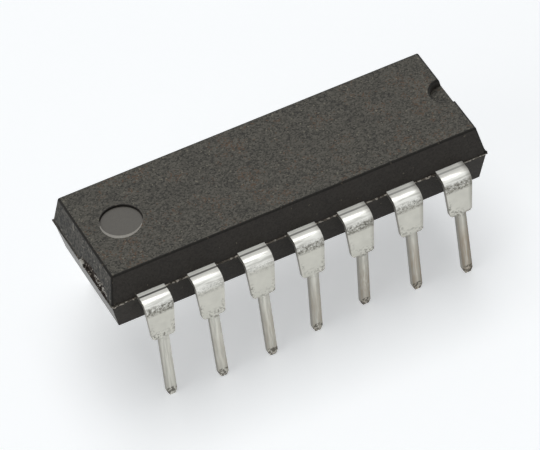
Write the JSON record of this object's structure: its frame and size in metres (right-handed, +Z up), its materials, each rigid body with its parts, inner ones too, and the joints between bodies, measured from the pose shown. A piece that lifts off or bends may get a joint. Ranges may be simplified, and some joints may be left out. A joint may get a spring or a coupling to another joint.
{
  "type": "dip integrated circuit chip",
  "caption": "Moulded dual in-line chip package with formed tinned leads in two rows, an end notch and a round dimple, with lead frame, die and bond wires inside.",
  "frame": {"origin": "centre of the two rows of leads on the seating plane, where the wide shoulders of the leads end and the board's surface lies", "axes": "+X along the body towards the notched end, +Z up out of the board, so leads 1 to 7 stand on the +Y side and leads 8 to 14 on the -Y side"},
  "size_m": [0.0192, 0.0087, 0.0074],
  "materials": {
    "epoxy": "moulded epoxy, fine matt texture",
    "tinned_lead": "matt tin plate on a stamped and bent lead",
    "frame_alloy": "bare stamped nickel-iron lead-frame alloy",
    "die_adhesive": "silver-filled epoxy",
    "silicon": "polished silicon",
    "gold_wire": "drawn gold wire"
  },
  "bodies": {
    "root": {"body": "epoxy", "die_pad": "frame_alloy", "die_attach": "die_adhesive", "die": "silicon", "lead_01": "tinned_lead", "lead_02": "tinned_lead", "lead_03": "tinned_lead", "lead_04": "tinned_lead", "lead_05": "tinned_lead", "lead_06": "tinned_lead", "lead_07": "tinned_lead", "lead_08": "tinned_lead", "lead_09": "tinned_lead", "lead_10": "tinned_lead", "lead_11": "tinned_lead", "lead_12": "tinned_lead", "lead_13": "tinned_lead", "lead_14": "tinned_lead", "bond_wire_01": "gold_wire", "bond_wire_02": "gold_wire", "bond_wire_03": "gold_wire", "bond_wire_04": "gold_wire", "bond_wire_05": "gold_wire", "bond_wire_06": "gold_wire", "bond_wire_07": "gold_wire", "bond_wire_08": "gold_wire", "bond_wire_09": "gold_wire", "bond_wire_10": "gold_wire", "bond_wire_11": "gold_wire", "bond_wire_12": "gold_wire", "bond_wire_13": "gold_wire", "bond_wire_14": "gold_wire"}
  },
  "joints": []
}
